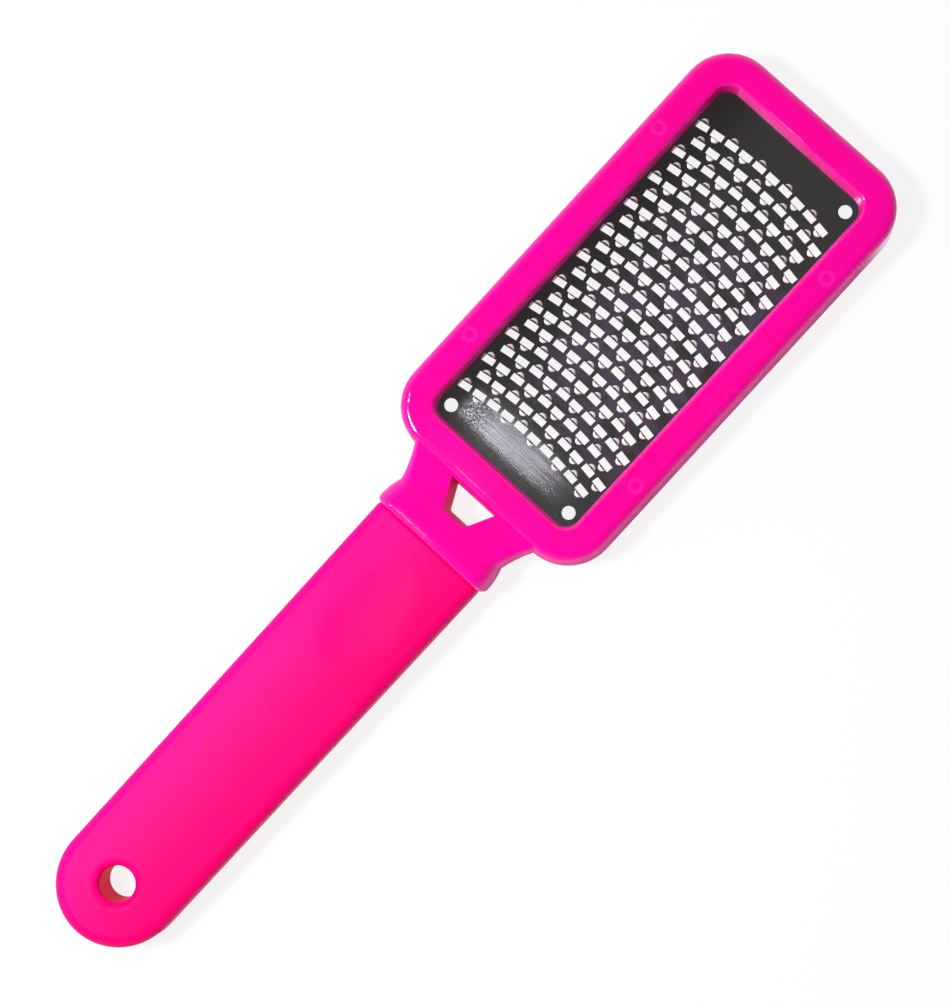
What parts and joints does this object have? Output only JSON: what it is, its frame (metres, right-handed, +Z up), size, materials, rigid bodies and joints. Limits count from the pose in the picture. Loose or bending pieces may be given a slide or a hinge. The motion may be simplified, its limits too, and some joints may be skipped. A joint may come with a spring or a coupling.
{
  "type": "foot file",
  "caption": "Hand-held foot file: stamped steel rasp plate with hooded teeth in a glossy plastic frame, on a forked neck with a soft round-ended grip and hang hole.",
  "frame": {"origin": "under the middle of the tool's length and width, on the surface that it lies on with the rasp up", "axes": "+Y along the tool from the grip's end to the head's tip, +Z up out of the rasp plate, +X to the right seen from above with the head away from the viewer"},
  "size_m": [0.062, 0.26, 0.0155],
  "materials": {
    "frame_plastic": "glossy opaque hot pink moulding",
    "plate_steel": "bright stamped stainless sheet with fine handling scratches",
    "grip_rubber": "matte soft-touch hot pink sleeve"
  },
  "bodies": {
    "root": {"front_frame": "frame_plastic", "rear_frame": "frame_plastic", "rasp_plate": "plate_steel", "grip": "grip_rubber"}
  },
  "joints": []
}
